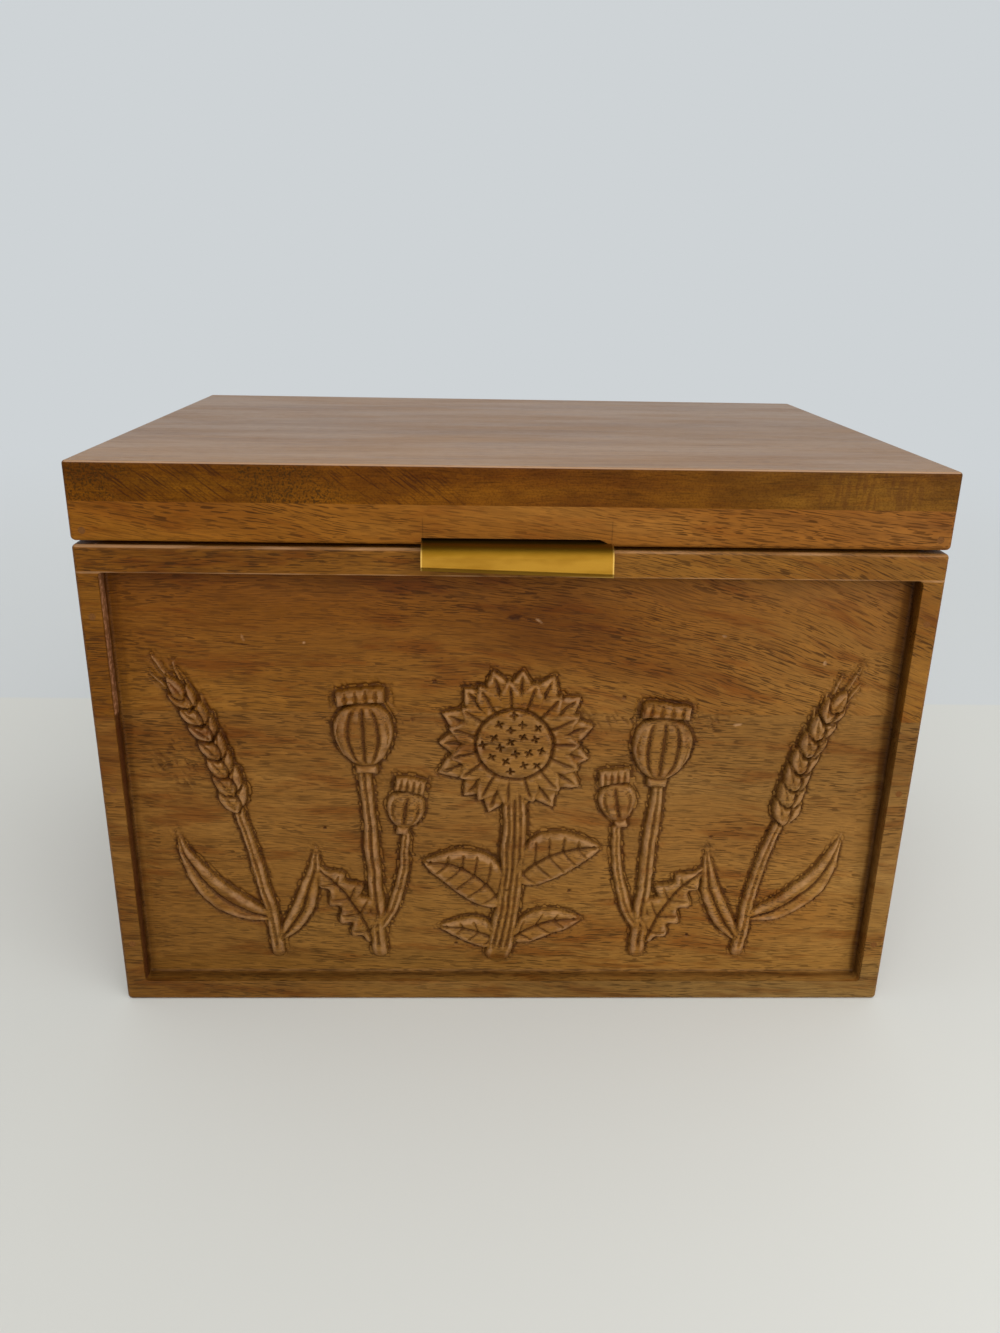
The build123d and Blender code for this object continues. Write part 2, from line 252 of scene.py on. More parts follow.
def between(f, value, low, high, soft_mm):
    """1 between two places and 0 outside, with soft ends."""
    return f.times(f.ease(value, low - soft_mm, low + soft_mm), f.fall(value, high - soft_mm, high + soft_mm))


def on_face(f, y):
    """1 on the front face, and 0 behind it."""
    return f.fall(y, front_mm + 0.3, front_mm + 0.9)


def deep_in(f, y):
    """0 on the front face, and 1 deep in the recess."""
    return f.ease(y, front_mm + 2.0, front_mm + 5.0)


def upper_shade(f, spot, colour):
    """The upper board is dark and red along its top, less so at the right, and round a knot. It
    pales towards the glue line, and its border has a tone between."""
    x, y, z = f.parts(spot)
    deep = deep_in(f, y)
    high = f.times(f.ease(z, seam_mm - 4, recess_high_mm + 2), f.ease(x, 40, 110, 1.0, 0.55))
    colour = f.tint(f.times(deep, high), colour, (0.70, 0.54, 0.26))
    colour = f.tint(f.fall(deep, 0.0, 1.0), colour, (0.83, 0.76, 0.52))
    knot_place, knot_reach = (14.0, recess_floor_mm, 153.0), (44.0, 99.0, 17.0)
    away = f.vector("DIVIDE", f.vector("SUBTRACT", spot, knot_place), knot_reach)
    away = f.add("ShaderNodeVectorMath", {0: away}, operation="LENGTH").outputs["Value"]
    away = f.sum("MULTIPLY_ADD", f.noise(spot, (16, 16, 6), 2.0), 0.9, away)
    colour = f.tint(f.times(f.fall(away, 0.6, 1.5), deep), colour, (0.69, 0.61, 0.48))
    return front_wear_and_painted_light(f, spot, colour)


def lower_shade(f, spot, colour):
    """The lower board is a little darker at its lower left, over its upper half, most of all at the
    right, and on its border towards the right."""
    x, y, z = f.parts(spot)
    low_left = f.times(f.fall(z, recess_low_mm, seam_mm - 30), f.ease(x, -60, 60, 1.0, 0.2))
    upper_half = f.times(f.ease(z, 35, 70), f.ease(x, -100, -30, 0.35, 1.0))
    upper_right = f.times(f.ease(z, 72, 95), f.ease(x, 40, 90))
    border = f.times(on_face(f, y), f.ease(x, -60, 60, 0.35, 1.0),
                     f.ease(z, recess_low_mm, recess_low_mm + 14, 1.0, 0.45))
    for share, tint in ((low_left, (0.86, 0.89, 0.92)), (upper_half, (0.87, 0.85, 0.88)),
                        (upper_right, (0.82, 0.81, 0.78)), (border, (0.68, 0.73, 0.84))):
        colour = f.tint(share, colour, tint)
    return front_wear_and_painted_light(f, spot, colour)


def front_wear_and_painted_light(f, spot, colour):
    """The front's marks and painted light, laid down in turn: its walls, with painted shade and
    highlight; its staining, with painted shade; and its rubbing, with painted highlights.
    """
    # Staining with painted shade above 0, and rubbing with painted highlights below 0
    wear_and_painted_light = f.add("ShaderNodeAttribute", {}, attribute_name="wear_and_painted_light").outputs["Fac"]
    colour = wall_shade(f, spot, colour)
    colour = stain_and_painted_shade(f, spot, colour, wear_and_painted_light)
    return rubbed_pale_and_highlight(f, spot, colour, wear_and_painted_light)


def wall_shade(f, spot, colour):
    """The recess's left wall has pale flecks above the glue line, partly tool marks and partly a painted
    highlight of the lit wall, and is dark below it. The board's right end is a little browner than
    the face, and the recess's right wall has painted shade."""
    x, y, z = f.parts(spot)
    left_wall = f.times(between(f, x, -recess_side_mm - 0.3, -recess_side_mm + 0.3, 0.1),
                        between(f, y, front_mm + 0.9, recess_floor_mm - 1.4, 0.4))
    # Pale flecks on the left wall: partly tool marks, partly painted highlight
    flecks = f.ease(f.noise(spot, (1.6, 1.6, 1.6), 2.0), 0.50, 0.62, 0.35, 0.95)
    flecks = f.times(flecks, f.ease(z, seam_mm - 1.0, seam_mm + 1.0))
    colour = f.mix(f.times(left_wall, flecks), colour, linear(168, 118, 86))
    below = f.ease(z, seam_mm - 1.0, seam_mm + 1.0, 0.6, 0.0)
    colour = f.mix(f.times(left_wall, below), colour, linear(72, 34, 22))
    right_end = f.ease(x, upper_high[0] - 0.4, upper_high[0] - 0.1)
    colour = f.tint(right_end, colour, (0.84, 0.69, 0.56))
    # Painted shade on the recess's right wall, which faces away from the light
    shaded_right_wall = f.times(f.ease(x, recess_side_mm - 0.8, recess_side_mm - 0.2), within_recess(f, x),
                         f.ease(y, front_mm + 1.0, front_mm + 2.0))
    return f.tint(shaded_right_wall, colour, (0.74, 0.72, 0.66))


def from_wall(f, x):
    """The distance in from the recess's nearer side wall."""
    return f.sum("SUBTRACT", recess_side_mm, f.sum("ABSOLUTE", x))


def within_recess(f, x):
    """1 between the recess's side walls, and 0 on the border and the board's ends."""
    return f.ease(from_wall(f, x), -0.7, -0.4)


def stain_and_painted_shade(f, spot, colour, wear_and_painted_light):
    """Dark tint in uneven strips beside the recess's walls and along its foot, partly gathered staining
    and partly painted shade from the walls; in the carving's cuts and hollows, staining and painted
    shade; and in the thin glue line."""
    x, y, z = f.parts(spot)
    recessed = within_recess(f, x)
    # Strips beside the walls: painted shadow of the walls, with staining, strongest at the right
    wavy = f.sum("MULTIPLY_ADD", f.noise(spot, (5, 5, 14), 2.0), 3.0, f.ease(z, 50, 140, 1.0, 3.0))
    strength = f.times(f.ease(z, 60, 160, 0.95, 0.70), f.ease(x, -20, 20, 0.50, 1.0))
    stain_and_shadow_strip = f.times(f.fall(f.sum("SUBTRACT", from_wall(f, x), wavy), -1.6, 0.5),
                    f.ease(y, recess_floor_mm - 1.6, recess_floor_mm - 0.9), recessed, strength)
    colour = f.tint(stain_and_shadow_strip, colour, (0.46, 0.40, 0.34))
    # Along the recess's foot: painted shade, with staining
    side = f.sum("DIVIDE", from_wall(f, x), f.ease(x, -20, 20, 1.0, 2.4))
    inset = f.sum("MINIMUM", side, f.sum("DIVIDE", f.sum("SUBTRACT", z, recess_low_mm), 1.4))
    deep = f.times(recessed, deep_in(f, y))
    ragged = f.ease(f.noise(spot, (6.0, 2.5, 6.0), 3.0), 0.3, 0.6, 0.35, 0.65)
    foot = f.times(f.fall(inset, 0.1, 1.0), deep, ragged)
    seam = f.times(between(f, z, seam_mm - 0.14, seam_mm + 0.14, 0.12), f.ease(x, -150, -100, 0.7, 0.12))
    # One dark tint for the foot's painted shade, the glue line, and the carving's staining and painted shade
    return f.tint(f.most(foot, seam, wear_and_painted_light), colour, (0.30, 0.22, 0.16))


def rubbed_pale_and_highlight(f, spot, colour, wear_and_painted_light):
    """Pale wood: partly rubbing and partly painted highlights on the carving's edges and the recess's
    upper rim, and a painted highlight along the top arris.
    """
    x, y, z = f.parts(spot)
    patchy = f.ease(f.noise(spot, (5, 5, 5), 3.0, 0.6), 0.36, 0.62, 0.25, 1.0)
    edges = f.times(f.most(f.times(wear_and_painted_light, -1.0), 0.0), patchy)
    # Painted highlight along the top front arris
    arris = f.times(f.ease(z, upper_high[2] - 1.0, upper_high[2] - 0.6),
                    f.fall(y, front_mm + 0.9, front_mm + 1.8),
                    f.ease(f.noise(spot, (22, 3, 3), 2.0), 0.35, 0.65, 0.15, 0.5))
    # Recess's upper rim: partly rubbing, partly painted highlight
    rim = f.times(between(f, z, recess_high_mm - 0.3, recess_high_mm + 0.45, 0.15),
                  f.fall(y, front_mm + 0.8, front_mm + 1.6),
                  f.ease(f.noise(spot, (16, 3, 3), 2.0), 0.35, 0.65, 0.08, 0.4))
    return f.mix(f.most(edges, arris, rim), colour, linear(176, 136, 98))


def lid_figure(f, spot, colour):
    """The lid's boards: darker towards the ends and the top arris, with clouds and fine specks, then
    the figure of the front edge and the top, and a painted highlight along the front arris."""
    x, y, z = f.parts(spot)
    towards_ends = f.ease(f.sum("ABSOLUTE", f.sum("ADD", x, 12.0)), 20, 100)
    rising = f.ease(z, lid_low[2], lid_high[2])
    clouds = f.ease(f.noise(spot, (15, 9, 7), 4.0, 0.66), 0.38, 0.64)
    specks = f.ease(f.noise(spot, (0.8, 0.8, 0.6), 2.0, 0.66), 0.46, 0.64)
    for share, tint in ((towards_ends, (0.80, 0.82, 0.80)), (rising, (0.84, 0.80, 0.70)),
                        (clouds, (0.74, 0.71, 0.68)), (specks, (0.76, 0.71, 0.63))):
        colour = f.tint(share, colour, tint)
    colour = lid_edge_figure(f, spot, colour)
    colour = lid_top_figure(f, spot, colour)
    # Painted highlight along the lid's front arris
    arris = f.times(f.ease(z, lid_high[2] - 0.6, lid_high[2] - 0.35),
                    f.fall(y, front_mm + 0.4, front_mm + 1.2), 0.6)
    return f.mix(arris, colour, linear(190, 156, 128))


def lid_edge_figure(f, spot, colour):
    """The front edge: slanting streaks, speckled patches and wavy cross lines, each between places
    along X with ragged ends, and dark corners. The lid's end faces are lighter and cooler."""
    x, y, _ = f.parts(spot)
    ragged = f.swing(f.noise(spot, (14, 14, 6), 2.0), 26.0, x)
    edge = on_face(f, y)
    slanted = f.place(turn=(0, math.radians(-38), 0), shift=(7, 0, 3))
    streaks = f.ease(f.noise(slanted, (11, 5, 0.75), 2.0, 0.6), 0.50, 0.68)
    grains = f.ease(f.noise(spot, (0.75, 0.75, 0.75), 2.0, 0.6), 0.48, 0.62)
    waves = f.ease(f.noise(spot, (1.3, 6, 7.0), 2.0), 0.44, 0.62)
    # Figure, places along X (from, to, softness), strength and colour
    for figure, places, strength, dark in (
            (streaks, ((-138, -92, 8), (-62, -20, 7)), 0.85, linear(52, 24, 4)),
            (grains, ((-90, -62, 7), (-152, -132, 5)), 0.80, linear(50, 30, 5)),
            (waves, ((102, 136, 9),), 0.40, linear(66, 34, 10))):
        here = f.most(*[between(f, ragged, *place) for place in places])
        colour = f.mix(f.times(figure, edge, here, strength), colour, dark)
    from_end = f.sum("SUBTRACT", lid_high[0], f.sum("ABSOLUTE", x))
    corners = f.times(f.ease(from_end, 0.3, 1.0, 0.5, 0.0), edge)
    colour = f.mix(corners, colour, linear(52, 30, 10))
    end_faces = f.times(f.fall(from_end, 0.1, 0.5), f.ease(y, front_mm + 1.0, front_mm + 2.0))
    return f.tint(end_faces, colour, (1.34, 1.20, 1.32))


def lid_top_figure(f, spot, colour):
    """The top: a greyer, paler tone, partly faded wood and partly painted sheen, stronger towards the
    front, with faint grain, crowds of pore dashes and broad bands. The middle board is a little darker."""
    _, y, z = f.parts(spot)
    top = lid_top(f, z)
    # Painted sheen over faded wood, stronger towards the front
    worn_and_sheen = f.times(top, f.ease(y, front_mm, front_mm + 90, 0.80, 0.66))
    colour = f.mix(worn_and_sheen, colour, linear(168, 125, 78))
    along = f.place(turn=(0, 0, -0.05))
    grain = f.ease(f.noise(along, (60, 1.7, 3), 3.0, 0.62), 0.46, 0.66)
    crowd = f.ease(f.noise(spot, (50, 16, 16), 2.0), 0.38, 0.64, 0.2, 1.0)
    dashes = f.times(f.ease(f.noise(along, (5.0, 0.8, 3), 1.0), 0.57, 0.66), crowd)
    broad = f.ease(f.noise(along, (150, 20, 20), 3.0, 0.55), 0.44, 0.66)
    middle = between(f, y, lid_high[1], back_joint_mm, 0.15)
    for share, tint in ((grain, (0.78, 0.72, 0.64)), (dashes, (0.74, 0.67, 0.58)),
                        (broad, (0.86, 0.82, 0.77)), (middle, (0.95, 0.94, 0.92))):
        colour = f.tint(f.times(top, share), colour, tint)
    return colour


def lid_top(f, z):
    """1 on the lid's top, 0 below its front arris."""
    return f.ease(z, lid_high[2] - 0.4, lid_high[2] - 0.05)


def lid_polish(f, spot):
    """Where the lid's top is waxed: all of it, a little less in soft patches."""
    worn_and_sheen = f.noise(spot, (70, 16, 16), 3.0)
    return f.times(lid_top(f, f.parts(spot)[2]), f.ease(worn_and_sheen, 0.25, 0.75, 0.35, 0.65))


def rail_marks_and_notch_shade(f, spot, colour):
    """Painted shade inside the notch over the pull, and two fine saw lines above its ends."""
    x, y, z = f.parts(spot)
    # Painted shade inside the notch
    notch = f.times(between(f, y, front_mm + 0.6, front_mm + notch_depth_mm, 0.4),
                    f.fall(z, rail_low[2] + 3.0, rail_low[2] + 3.2),
                    between(f, x, pull_low[0] - 0.5, pull_high[0] + 0.5, 0.3))
    left = between(f, x, pull_low[0] + 0.25, pull_low[0] + 0.65, 0.15)
    right = between(f, x, pull_high[0] - 0.55, pull_high[0] - 0.15, 0.15)
    tall = between(f, z, rail_low[2] + 1.5, rail_low[2] + 9.0, 1.5)
    saw = f.times(f.most(left, right), tall, 0.3)
    return f.mix(f.most(notch, saw), colour, linear(34, 16, 6))


# Each wood's share gained along X, below, is painted light and sheen towards the right.
upper_wood = wood("oiled wood of the upper front board",
                  tone_set((107, 66, 20), (118, 78, 29), (128, 88, 38)), (40, 7, 3),
                  slope=-0.02, bow=0.0011, painted_light_drift=(0.10, 0.16, 0.36), band=26.0, streak=0.34, fibre=0.34,
                  pores=0.95, shine=0.08, rough=0.40, extra=upper_shade)
lower_wood = wood("oiled wood of the lower front board",
                  tone_set((116, 75, 28), (125, 86, 37), (134, 96, 46)), (310, 90, 88),
                  slope=-0.05, painted_light_drift=(0.14, 0.19, 0.28), band=26.0, streak=0.34, fibre=0.34,
                  pores=0.90, shine=0.07, rough=0.40, extra=lower_shade)
lid_wood = wood("oiled wood of the lid boards",
                tone_set((99, 56, 6), (112, 67, 9), (125, 80, 17)), (120, 250, 33),
                painted_light_drift=(-0.02, 0.03, 0.4), streak=0.18, fibre=0.22, pores=0.30, red=0.5, shine=0.05,
                extra=lid_figure, coat=lid_polish)
rail_tones = tone_set((105, 60, 14), (118, 72, 20), (129, 83, 29))
rail_wood = wood("oiled wood of the lid's front and back rails", rail_tones, (430, 52, 61),
                 slope=-0.12, painted_light_drift=(-0.04, -0.04, 0.15), streak=0.34, fibre=0.26, pores=0.95,
                 long=7.5, red=0.7, shine=0.06, extra=rail_marks_and_notch_shade)
end_rail_wood = wood("oiled wood of the lid's side rails", rail_tones, (150, 75, 61),
                     turn=QUARTER, streak=0.28, fibre=0.26, pores=0.85)
wall_tones = tone_set((94, 50, 14), (110, 65, 21), (125, 78, 31))
side_wood = wood("oiled wood of the side boards", wall_tones, (20, 10, 140),
                 turn=QUARTER, streak=0.30, fibre=0.30, pores=0.7, red=0.7)
back_wood = wood("oiled wood of the back boards", wall_tones, (520, 130, 40),
                 streak=0.30, fibre=0.30, pores=0.7, red=0.7)
inner_wood = wood("plain wood of the bottom and the divider",
                  tone_set((124, 84, 44), (150, 108, 62), (170, 130, 84)), (230, 130, 15),
                  streak=0.25, fibre=0.25, pores=0.4, rough=0.6)


# Metal, filler and pads

def brass(name, colour, rough, extra=None):
    """Brass with fine brushing along X and soft stains."""
    f = Finish(name)
    spot = f.place()
    brushing = f.noise(spot, (18, 0.16, 0.16), 2.0)
    stains = f.noise(spot, (16, 5, 5), 2.0)
    colour = f.tint(f.ease(stains, 0.35, 0.7), colour, (0.80, 0.74, 0.62))
    if extra:
        colour = extra(f, spot, colour)
    coarse = f.sum("MULTIPLY_ADD", brushing, 0.10, f.sum("MULTIPLY_ADD", stains, 0.12, rough - 0.1))
    return f.close(base_color=colour, metallic=1.0, roughness=coarse, normal=f.bump(brushing, 0.01))


def pull_wear_and_painted_light(f, spot, colour):
    """Olive over the pull's shoulder, partly tarnish and partly painted shade where it turns up under
    the lid's dark rail, a dark line above its lip, and a painted highlight along its ends and lower edge.
    """
    x, _, z = f.parts(spot)
    wavy = f.swing(f.noise(spot, (14, 2, 2), 2.0), 3.0, z)
    # Olive shoulder: partly tarnish, partly painted shade
    shoulder = f.times(f.ease(wavy, pull_high[2] - 5.2, pull_high[2] - 1.0), 0.72)
    colour = f.mix(shoulder, colour, linear(110, 80, 12))
    line = f.times(between(f, z, pull_low[2] + 0.9, pull_low[2] + 2.3, 0.6), 0.3)
    colour = f.mix(line, colour, linear(116, 84, 20))
    ends = f.sum("MINIMUM", f.sum("SUBTRACT", x, pull_low[0]), f.sum("SUBTRACT", pull_high[0], x))
    # Painted highlight along the pull's ends and lower edge
    rim = f.ease(f.sum("MINIMUM", ends, f.sum("SUBTRACT", z, pull_low[2])), 0.30, 0.65, 0.6, 0.0)
    return f.mix(rim, colour, linear(198, 160, 84))


def speckled(name, size, dark, light, depth_mm=0.0, detail=3.0, **inputs):
    """A plain finish that wanders between two tones, with noise of one size and a bump from it."""
    f = Finish(name)
    grain = f.noise(f.place(), size, detail)
    if depth_mm:
        inputs["normal"] = f.bump(grain, depth_mm)
    return f.close(base_color=f.mix(grain, linear(*dark), linear(*light)), **inputs)


steel = speckled("bright nail steel", (0.2, 6, 0.2), (150, 150, 152), (196, 196, 198),
                 detail=2.0, metallic=1.0, roughness=0.32)
filler = speckled("brown nail filler", (0.5, 0.5, 0.5), (70, 38, 12), (118, 76, 32), 0.05,
                  roughness=0.8, specular_ior_level=0.12)
pad = speckled("soft lid pad", (0.35, 0.35, 0.35), (172, 164, 150), (206, 198, 184), 0.06, roughness=0.85)


def put_on(node, material):
    """Gives a frame node its finish on the object's own slot."""
    slot = frame["nodes"][node].material_slots[0]
    slot.link = "OBJECT"
    slot.material = material


pull_brass = brass("satin brass of the pull", linear(143, 105, 34), 0.46, pull_wear_and_painted_light)
hinge_brass = brass("plain brass of the hinges", linear(206, 160, 78), 0.34)
finish_of = {
    "front_upper_wood": upper_wood,
    "front_lower_wood": lower_wood,
    "wall_wood": side_wood,
    "inner_wood": inner_wood,
    "lid_wood": lid_wood,
    "rail_wood": rail_wood,
    "filler": filler,
    "steel": steel,
    "hinge_brass": hinge_brass,
    "pull_brass": pull_brass,
    "pad": pad,
}
across_the_box = {
    "back_upper_board": back_wood,
    "back_lower_board": back_wood,
    "lid_left_rail": end_rail_wood,
    "lid_right_rail": end_rail_wood,
}
for part in frame["record"]["subparts"]:
    put_on(part["node"], across_the_box.get(part["node"], finish_of[part["material_slot"]]))


# Camera, floor and light

def in_scene(name, data):
    """A new object, linked to the scene."""
    thing = bpy.data.objects.new(name, data)
    bpy.context.scene.collection.objects.link(thing)
    return thing


camera_place = Vector((-0.0147, -0.4535, 0.2699))
camera_yaw = math.radians(1.665)
camera_pitch = math.radians(20.17)
camera_roll = math.radians(1.055)
focal_pixels = 1048.2
picture_height = 1333.0
film_mm = 36.0

ahead = Vector((math.sin(camera_yaw) * math.cos(camera_pitch),
                math.cos(camera_yaw) * math.cos(camera_pitch), -math.sin(camera_pitch)))
level = Vector((math.cos(camera_yaw), -math.sin(camera_yaw), 0))
over = level.cross(ahead)
right = math.cos(camera_roll) * level + math.sin(camera_roll) * over
over = math.cos(camera_roll) * over - math.sin(camera_roll) * level
lens = bpy.data.cameras.new("camera")
lens.sensor_width = film_mm
lens.lens = film_mm * focal_pixels / picture_height
lens.clip_start = 0.01
camera = in_scene("camera", lens)
camera.matrix_world = Matrix.Translation(camera_place) @ Matrix((right, over, -ahead)).transposed().to_4x4()
bpy.context.scene.camera = camera

floor_colour = linear(211, 213, 210)
wall_colour = linear(206, 211, 214)
wall_line_mm = 212.0
fade_start_mm = 450.0
fade_end_mm = 1500.0
floor_reach = 12.0


def floor_finish():
    """Pale paper floor that takes the backdrop's colour beyond the wall line, and far out shows the
    backdrop's own light to the camera, so that no horizon shows."""
    f = Finish("pale floor")
    x, y, _ = f.parts(f.place())
    colour = f.mix(f.ease(y, wall_line_mm - 1.5, wall_line_mm + 1.5), floor_colour, wall_colour)
    paper = f.add("ShaderNodeBsdfDiffuse", {"Color": colour})
    far = f.sum("SQRT", f.sum("ADD", f.times(x, x), f.times(y, y)))
    seen = f.add("ShaderNodeLightPath", {}).outputs["Is Camera Ray"]
    share = f.times(f.ease(far, fade_start_mm, fade_end_mm), seen)
    glow = f.add("ShaderNodeEmission", {"Color": wall_colour, "Strength": 1.0})
    blend = f.add("ShaderNodeMixShader", {0: share, 1: paper.outputs[0], 2: glow.outputs[0]})
    f.add("ShaderNodeOutputMaterial", {0: blend.outputs[0]})
    return f.material


corners = [(x * floor_reach, y * floor_reach, 0) for x, y in ((-1, -1), (1, -1), (1, 1), (-1, 1))]
floor_mesh = bpy.data.meshes.new("floor")
floor_mesh.from_pydata(corners, [], [(0, 1, 2, 3)])
floor_mesh.materials.append(floor_finish())
floor = in_scene("floor", floor_mesh)

room_light = 0.62
room_colour = (1.0, 0.99, 0.97, 1)
lamp_colour = (1.0, 0.985, 0.955)
sun_strength = 1.95
sun_spread = math.radians(70)
sun_from = Vector((0.02, -0.84, 0.54))
lamp_power = 1.6
lamp_size = 0.40
lamp_place = Vector((0.48, -0.56, 0.28))
lamp_target = Vector((0.0, -0.11, 0.06))
# How high a glossy ray points where the room starts and ends dimming, and how bright it then is
gloss_dims_from, gloss_dims_to, ceiling_gloss = 0.40, 0.78, 0.14


def light_room():
    """Even light for surfaces; the camera, gloss and glass see the backdrop instead, which is
    dimmer in gloss towards the ceiling."""
    f = Finish("room", bpy.data.worlds)
    path = f.add("ShaderNodeLightPath", {}).outputs
    toward = f.parts(f.add("ShaderNodeTexCoord", {}).outputs["Generated"])
    dimming = f.ease(toward[2], gloss_dims_from, gloss_dims_to, 1.0, ceiling_gloss)
    even = f.add("ShaderNodeBackground", {"Color": room_colour, "Strength": room_light})
    gloss = f.add("ShaderNodeBackground", {"Color": wall_colour, "Strength": dimming})
    seen = f.add("ShaderNodeBackground", {"Color": wall_colour})
    either = f.most(path["Is Glossy Ray"], path["Is Transmission Ray"])
    first = f.add("ShaderNodeMixShader", {0: either, 1: even.outputs[0], 2: gloss.outputs[0]})
    second = f.add("ShaderNodeMixShader", {0: path["Is Camera Ray"], 1: first.outputs[0], 2: seen.outputs[0]})
    f.add("ShaderNodeOutputWorld", {0: second.outputs[0]})
    bpy.context.scene.world = f.material


light_room()
sun_data = bpy.data.lights.new("window light", "SUN")
sun_data.energy = sun_strength
sun_data.angle = sun_spread
sun_data.color = lamp_colour
sun = in_scene("window light", sun_data)
sun.rotation_euler = sun_from.to_track_quat("Z", "Y").to_euler()
lamp_data = bpy.data.lights.new("soft lamp", "AREA")
lamp_data.shape = "DISK"
lamp_data.size = lamp_size
lamp_data.energy = lamp_power
lamp_data.color = lamp_colour
lamp = in_scene("soft lamp", lamp_data)
lamp.location = lamp_place
lamp.rotation_euler = (lamp_place - lamp_target).to_track_quat("Z", "Y").to_euler()
lamp.visible_camera = False
bpy.context.scene.view_settings.view_transform = "Standard"


# The carving on the front panel

ground = 0.6  # the ground's height over the recess floor
cell = 0.42  # the grid's step
sheet_edge = 1.6  # the gap left to the recess's walls
sheet_back = 0.8  # how far a sheet's flat back lies inside the board
lattice_size = 97
lattice_start = (1000.3, 1000.7)
no_figure = 99.0  # the distance to a figure, before any is laid
awn_half, awn_rise = 0.7, 1.3


def soft(value, low, high):
    """0 below low and 1 above high, with a smooth step between."""
    share = np.clip((value - low) / (high - low), 0, 1)
    return share * share * (3 - 2 * share)


def dome(inside, edge):
    """A rounded shoulder: a quarter circle that rises from 0 to 1 over `edge` millimetres."""
    share = np.clip(inside / edge, 0, 1)
    return np.sqrt(1 - (1 - share) ** 2)


def groove(across, half):
    """A soft furrow, 1 in its middle."""
    return np.exp(-(across / half) ** 2)


def signed(in_side, past_end):
    """The distance in from an edge: negative outside it, or beyond the figure's ends."""
    outside = np.hypot(np.maximum(-in_side, 0), np.maximum(past_end, 0))
    return np.where((in_side > 0) & (past_end <= 0), in_side, -outside)


def grit(x, z, size, seed):
    """Smooth noise from 0 to 1: random heights on a lattice of `size`, eased between its points.
    The lattice repeats, and starts far enough out for every place to be positive."""
    rng = np.random.default_rng(seed)
    lattice = rng.random((lattice_size, lattice_size))
    u, v = x / size + lattice_start[0], z / size + lattice_start[1]
    i, j = np.floor(u).astype(int), np.floor(v).astype(int)
    s, t = soft(u - i, 0, 1), soft(v - j, 0, 1)
    pick = lambda a, b: lattice[(i + a) % lattice_size, (j + b) % lattice_size]
    low = pick(0, 0) * (1 - s) + pick(1, 0) * s
    high = pick(0, 1) * (1 - s) + pick(1, 1) * s
    return low * (1 - t) + high * t


class Relief:
    """Heights over the recess floor on a grid, the distance to the nearest figure, and the cuts' depth.
    The grid's places are moved a little by slow and quick noise, as a hand moves its tool."""

    def __init__(self, x, z):
        self.x = x + 0.9 * (grit(x, z, 9, 3) - 0.5) + 0.35 * (grit(x, z, 2.6, 4) - 0.5)
        self.z = z + 0.9 * (grit(x, z, 9, 5) - 0.5) + 0.35 * (grit(x, z, 2.6, 6) - 0.5)
        self.height = np.zeros_like(x)
        self.near = np.full_like(x, no_figure)
        self.cut = np.zeros_like(x)

    def window(self, margin, *points):
        """The grid points within a margin of the box round some points."""
        low, high = np.min(points, 0) - margin, np.max(points, 0) + margin
        return (self.x > low[0]) & (self.x < high[0]) & (self.z > low[1]) & (self.z < high[1])

    def lay(self, where, inside, height, cut=0.0):
        """Takes the higher surface where `inside`, the distance in from a figure's edge, is positive."""
        over = (inside > 0) & (height > self.height[where])
        self.height[where] = np.where(over, height, self.height[where])
        self.cut[where] = np.where(over, cut, self.cut[where])
        self.near[where] = np.minimum(self.near[where], np.maximum(-inside, 0))

    def sink(self, where, depth):
        """Cuts the surface down by a depth."""
        self.height[where] = self.height[where] - depth
        self.cut[where] = np.maximum(self.cut[where], depth)


def petals(r, centre, count, inner, outer, width, rise, level, vary, turn):
    """A ring of pointed petals: each is crowned across its width and creased down its middle."""
    w = r.window(outer + 8, centre)
    x, z = r.x[w] - centre[0], r.z[w] - centre[1]
    radius, angle = np.hypot(x, z), np.arctan2(z, x) - turn
    step = 2 * np.pi / count
    number = np.round(angle / step).astype(int) % count
    off = angle - np.round(angle / step) * step - vary[1][number] * step
    reach = outer * (1 + vary[0][number])
    t = np.clip((radius - inner) / (reach - inner), 0, 1)
    belly = 0.35 + 0.65 * np.sin(np.pi * np.clip(t * 0.92 + 0.08, 0, 1)) ** 0.8
    half = width * belly * np.clip((1 - t) / 0.28, 0, 1) ** 0.55
    across = radius * np.sin(off)
    inside = signed(half - np.abs(across), np.maximum(radius - reach, inner - 2 - radius))
    crease = 0.9 * groove(across, 0.6) * soft(t, 0.0, 0.25) * (1 - soft(t, 0.75, 1))
    r.lay(w, inside, level + rise * dome(inside, 2.0) - crease - 0.4 * t, crease)


def star(r, x0, z0, size, depth, turn):
    """A four-pointed punch mark, sunk as a cone."""
    w = r.window(size, (x0, z0))
    x, z = r.x[w] - x0, r.z[w] - z0
    edge = size * (0.34 + 0.66 * np.abs(np.cos(2 * (np.arctan2(z, x) - turn))) ** 2.2)
    r.sink(w, depth * soft(np.clip(1 - np.hypot(x, z) / edge, 0, 1), 0, 0.55))


